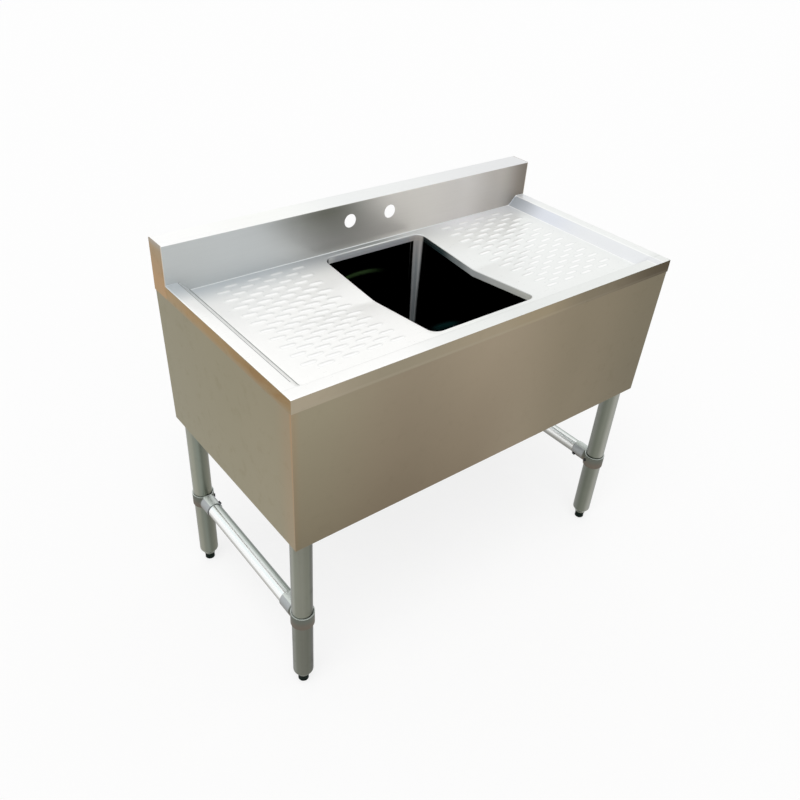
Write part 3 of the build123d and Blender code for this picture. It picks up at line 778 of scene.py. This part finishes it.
plain_finish("drain_steel", 1.0, tone(190, 190, 192), (60, 60, 900),
             ["drain_body", "strainer_basket", "basket_knob", "tailpiece"],
             streaks=0.08, clouds=0.05, roughness=0.15, marks=0.15, relief=0.1)
plain_finish("brass", 1.0, tone(178, 148, 86), (60, 60, 900), ["drain_locknut", "coupling_nut"],
             streaks=0.1, clouds=0.2, roughness=0.3, marks=0.2, relief=0.2)
plain_finish("rubber", 0.0, tone(26, 26, 26), (300, 300, 300), ["drain_gasket", "basket_stopper"],
             streaks=0.2, clouds=0.2, roughness=0.8, marks=0.1, relief=0.2)
plain_finish("fibre", 0.0, tone(120, 90, 62), (700, 700, 700), ["drain_friction_washer"],
             streaks=0.3, clouds=0.2, roughness=0.85, marks=0.1, relief=0.3)
plain_finish("white_plastic", 0.0, tone(220, 220, 214), (200, 200, 200), ["tailpiece_washer"],
             streaks=0.05, clouds=0.05, roughness=0.45, marks=0.1, relief=0.1)

# Channels and angle: folded stainless strips, welded on. A channel under each board carries two leg sockets,
# and the angle ties the side aprons together under the backsplash.
plain_finish("strip_steel", 1.0, tone(160, 158, 148), (900, 30, 900),
             ["left_channel", "right_channel", "rear_angle"],
             streaks=0.1, clouds=0.15, roughness=0.4, marks=0.1, relief=0.2)

# Aprons: three deep folded sheets of satin stainless steel, tucked up behind the hem and welded. The front
# one is painted with reflections of the room in soft bands, darkest at its right end, and with painted shade
# on the left part of its foot.
apron_head = 0.69
apron_foot = 0.41

apron_finish, tree, shader, place = start_finish("front_apron_steel", 1.0)
across = share(tree, along(tree, place, 0), -deck_end, deck_end)
apron_colour = ramp(tree, across, [
    (0.0, tone(154, 138, 112)),
    (0.02, tone(149, 141, 119)),
    (0.25, tone(144, 132, 112)),
    (0.45, tone(154, 141, 120)),
    (0.75, tone(133, 122, 100)),
    (1.0, tone(117, 108, 86)),
])
painted_foot_shade = all_of(tree, share(tree, along(tree, place, 2), apron_head, apron_foot),
                    span(tree, across, 0.42, 0.62, at_low=0.45, at_high=0.05))
apron_colour = blend(tree, painted_foot_shade, apron_colour, tone(82, 66, 40))
roll(tree, shader, place, apron_colour, (20, 20, 900),
     streaks=0.05, clouds=0.1, roughness=0.4, marks=0.06, relief=0.2)
dress(apron_finish, "front_apron")

side_finish, tree, shader, place = start_finish("side_apron_steel", 1.0)
# The side aprons are painted with reflections: warm at the front edge, olive grey further back
side_colour = ramp(tree, share(tree, along(tree, place, 1), -0.238, 0.238), [
    (0.004, tone(166, 132, 92)),
    (0.022, tone(150, 134, 106)),
    (0.12, tone(143, 134, 108)),
    (0.5, tone(140, 132, 105)),
    (1.0, tone(137, 130, 104)),
])
roll(tree, shader, place, side_colour, (20, 20, 900),
     streaks=0.05, clouds=0.1, roughness=0.4, marks=0.06, relief=0.2)
dress(side_finish, "left_apron", "right_apron")

# Legs: galvanized round tube, drawn in at the lower end, each held in a socket under its channel. Pale and
# dark reflections are painted round and down their length, painted shade darkens them under the tee, and a
# painted shadow line rings each leg where it enters its tee.
corners = [f"{row}_{side}" for row in ("front", "rear") for side in ("left", "right")]
leg_off_middle = 0.4232
front_legs = -0.203125
rear_legs = 0.207625
tee_top = 0.2080
# Direction across a leg, from its back left side to its front right side, and the painted reflections in that
# direction, each with its place
across_legs = (0.771, -0.637, 0.0)
front_left_painted_reflections = [(0.03, (122, 124, 117)), (0.16, (146, 148, 138)), (0.28, (131, 133, 121)),
                      (0.55, (128, 129, 118)), (0.85, (116, 118, 106)), (0.97, (84, 86, 77))]
rear_left_painted_reflections = [(0.03, (146, 147, 136)), (0.3, (148, 149, 136)), (0.5, (130, 134, 123)),
                     (0.62, (126, 132, 122)), (0.78, (108, 112, 101)), (0.97, (120, 121, 108))]
right_painted_reflections = [(0.03, (125, 127, 120)), (0.2, (109, 113, 102)), (0.45, (122, 125, 114)),
                 (0.75, (158, 159, 150)), (0.97, (142, 144, 138))]


def round_tube(tree, place, middle, keep, towards):
    """Where a point lies round a tube: 0 on one side, 1 on the side that a direction points to."""
    node = tree.nodes.new("ShaderNodeMapping")
    node.vector_type = "POINT"
    node.inputs["Location"].default_value = [-value * kept for value, kept in zip(middle, keep)]
    node.inputs["Scale"].default_value = keep
    tree.links.new(place, node.inputs["Vector"])
    outward = tree.nodes.new("ShaderNodeVectorMath")
    outward.operation = "NORMALIZE"
    tree.links.new(node.outputs["Vector"], outward.inputs[0])
    side = tree.nodes.new("ShaderNodeVectorMath")
    side.operation = "DOT_PRODUCT"
    tree.links.new(outward.outputs[0], side.inputs[0])
    side.inputs[1].default_value = towards
    return share(tree, side.outputs["Value"], -1.0, 1.0)


for corner, streaks in zip(corners, (front_left_painted_reflections, right_painted_reflections, rear_left_painted_reflections, right_painted_reflections)):
    leg_finish, tree, shader, place = start_finish(f"{corner}_leg_steel", 1.0)
    z = along(tree, place, 2)
    middle = (-leg_off_middle if "left" in corner else leg_off_middle,
              front_legs if "front" in corner else rear_legs, 0.0)
    turned = round_tube(tree, place, middle, (1.0, 1.0, 0.0), across_legs)
    leg_colour = ramp(tree, turned, [(stop, tone(*colour)) for stop, colour in streaks])
    # Painted shade on the leg under its tee
    painted_tee_shade = span(tree, z, 0.196, 0.186, at_high=0.32 if corner == "front_left" else 0.12)
    leg_colour = blend(tree, painted_tee_shade, leg_colour, tone(8, 12, 6))
    # A painted shadow line round the leg where it enters the top of its tee
    painted_joint_shadow = all_of(tree, line_at(tree, z, tee_top, 0.0022), 0.8)
    leg_colour = blend(tree, painted_joint_shadow, leg_colour, tone(30, 34, 32))
    roll(tree, shader, place, leg_colour, (300, 300, 8),
         streaks=0.18, clouds=0.24, roughness=0.36, marks=0.1, relief=0.2)
    dress(leg_finish, f"{corner}_leg", f"{corner}_leg_socket")

# Tees: zinc castings that clamp the rails to the legs with black set screws. Their tops get painted
# highlights, their undersides painted brown shade.
legs_middle = (front_legs + rear_legs) / 2
leg_reach = (rear_legs - front_legs) / 2

cast_finish, tree, shader, place = start_finish("cast_zinc", 1.0)
y, z = along(tree, place, 1), along(tree, place, 2)
# Painted highlight on top and painted shade below, on collar and arms
collar_colour = blend(tree, span(tree, z, 0.182, 0.202), tone(112, 104, 94), tone(104, 107, 99))
arm_colour = blend(tree, span(tree, z, 0.178, 0.204), tone(114, 108, 100), tone(174, 178, 179))
from_leg = reckon(tree, "SUBTRACT", leg_reach, away_from(tree, y, legs_middle))
cast_colour = blend(tree, span(tree, from_leg, 0.0215, 0.0255), collar_colour, arm_colour)
# A painted highlight along the top edge of each tee
cast_colour = blend(tree, span(tree, z, tee_top - 0.0020, tee_top - 0.0012), cast_colour, tone(206, 212, 208))
roll(tree, shader, place, cast_colour, (500, 500, 500),
     streaks=0.2, clouds=0.2, roughness=0.55, marks=0.1, relief=0.5)
dress(cast_finish, *[f"{corner}_tee" for corner in corners])

plain_finish("screw_steel", 1.0, tone(40, 40, 42), (300, 300, 300), ["socket_set_screws", "tee_set_screws"],
             streaks=0.2, clouds=0.1, roughness=0.5, marks=0.1, relief=0.2)

# Rails: bright drawn steel tubes, one on each side, with both ends pushed into the tees and held there by set
# screws. A painted highlight runs along their tops between painted darker reflections, and a painted shadow
# rings each rail where it goes into a tee.
rail_height = 0.1915
rail_mouth = 0.1494
# Direction across a rail, from its lower left side to its upper right side
across_rails = (0.75, 0.0, 0.66)

for side, middle in (("left", -leg_off_middle), ("right", leg_off_middle)):
    rail_finish, tree, shader, place = start_finish(f"{side}_rail_steel", 0.9)
    turned = round_tube(tree, place, (middle, 0.0, rail_height), (1.0, 0.0, 1.0), across_rails)
    painted_rail_reflection = ramp(tree, turned, [
        (0.02, tone(128, 128, 122)),
        (0.14, tone(172, 171, 166)),
        (0.22, tone(206, 206, 203)),
        (0.3, tone(248, 249, 248)),
        (0.5, tone(252, 254, 254)),
        (0.6, tone(240, 250, 250)),
        (0.72, tone(252, 254, 253)),
        (0.83, tone(226, 232, 229)),
        (0.92, tone(176, 184, 178)),
        (0.985, tone(112, 120, 114)),
    ])
    # A painted shadow round the rail where it goes into each tee
    off_middle = away_from(tree, along(tree, place, 1), legs_middle)
    painted_joint_shadow = all_of(tree, line_at(tree, off_middle, rail_mouth, 0.0022), 0.75)
    painted_rail_reflection = blend(tree, painted_joint_shadow, painted_rail_reflection, tone(40, 42, 40))
    roll(tree, shader, place, painted_rail_reflection, (400, 5, 400),
         streaks=0.1, clouds=0.06, roughness=0.25, marks=0.06, relief=0.1)
    dress(rail_finish, f"{side}_rail")

# Feet and leg plugs: moulded black plastic. A plug closes the drawn-in end of each leg, and a foot screws up
# into it to level the sink.
black_plastic = plain_finish(
    "black_plastic", 0.0, tone(10, 22, 17), (400, 400, 400),
    [f"{corner}_{piece}" for piece in ("foot", "leg_plug") for corner in corners],
    streaks=0.2, clouds=0.1, roughness=0.6, marks=0.15, relief=0.2)
black_plastic.inputs["Specular IOR Level"].default_value = 0.06

# Studio: a white floor that keeps the object's shadow, white air all round, and one soft lamp high on the
# left.
floor_radius = 30.0
floor_mesh = bpy.data.meshes.new("studio_floor")
floor_shape = bmesh.new()
bmesh.ops.create_circle(floor_shape, cap_ends=True, segments=96, radius=floor_radius)
floor_shape.to_mesh(floor_mesh)
floor_shape.free()
floor = bpy.data.objects.new("studio_floor", floor_mesh)
bpy.context.scene.collection.objects.link(floor)


def seen_directly(tree):
    """1 for what the camera sees straight, in a reflection or through glass."""
    rays = tree.nodes.new("ShaderNodeLightPath").outputs
    seen = reckon(tree, "MAXIMUM", rays["Is Camera Ray"], rays["Is Glossy Ray"])
    return reckon(tree, "MAXIMUM", seen, rays["Is Transmission Ray"])


floor_finish, tree, shader, place = start_finish("floor_white", 0.0)
shader.inputs["Roughness"].default_value = 0.9
shader.inputs["Base Color"].default_value = (0.95, 0.95, 0.95, 1.0)
white = tree.nodes.new("ShaderNodeEmission")
both = tree.nodes.new("ShaderNodeMixShader")
tree.links.new(all_of(tree, seen_directly(tree), 0.75), both.inputs["Fac"])
tree.links.new(shader.outputs["BSDF"], both.inputs[1])
tree.links.new(white.outputs["Emission"], both.inputs[2])
tree.links.new(both.outputs["Shader"], tree.nodes["Material Output"].inputs["Surface"])
floor_mesh.materials.append(floor_finish)

world = bpy.data.worlds.new("studio_air")
bpy.context.scene.world = world
world.use_nodes = True
tree = world.node_tree
background = tree.nodes["Background"]
background.inputs["Color"].default_value = (1.0, 1.0, 1.0, 1.0)
strength = reckon(tree, "ADD", all_of(tree, seen_directly(tree), 0.4), 0.6)
tree.links.new(strength, background.inputs["Strength"])

sun_direction = Vector((0.45, 0.35, -1.0))
sun = bpy.data.lights.new("soft_sun", "SUN")
sun.energy = 1.4
sun.angle = math.radians(50)
sun_object = bpy.data.objects.new("soft_sun", sun)
sun_object.rotation_euler = sun_direction.to_track_quat("-Z", "Y").to_euler()
bpy.context.scene.collection.objects.link(sun_object)

# Camera: off the front left corner and well above the rim, looking down across the sink, as in the
# photograph. Its turns are in degrees about the three axes.
camera_place = Vector((-0.9417, -1.0494, 1.3984))
camera_turns = (54.0403, -2.8974, -37.4724)
camera_data = bpy.data.cameras.new("camera")
camera_data.sensor_width = 36.0
camera_data.lens = 35.39
camera_data.shift_x = 0.014676
camera_data.shift_y = 0.013801
camera_data.clip_end = 100.0
camera = bpy.data.objects.new("camera", camera_data)
turn = Euler([math.radians(degrees) for degrees in camera_turns])
camera.matrix_world = Matrix.LocRotScale(camera_place, turn, None)
bpy.context.scene.collection.objects.link(camera)
bpy.context.scene.camera = camera
bpy.context.scene.view_settings.view_transform = "Standard"
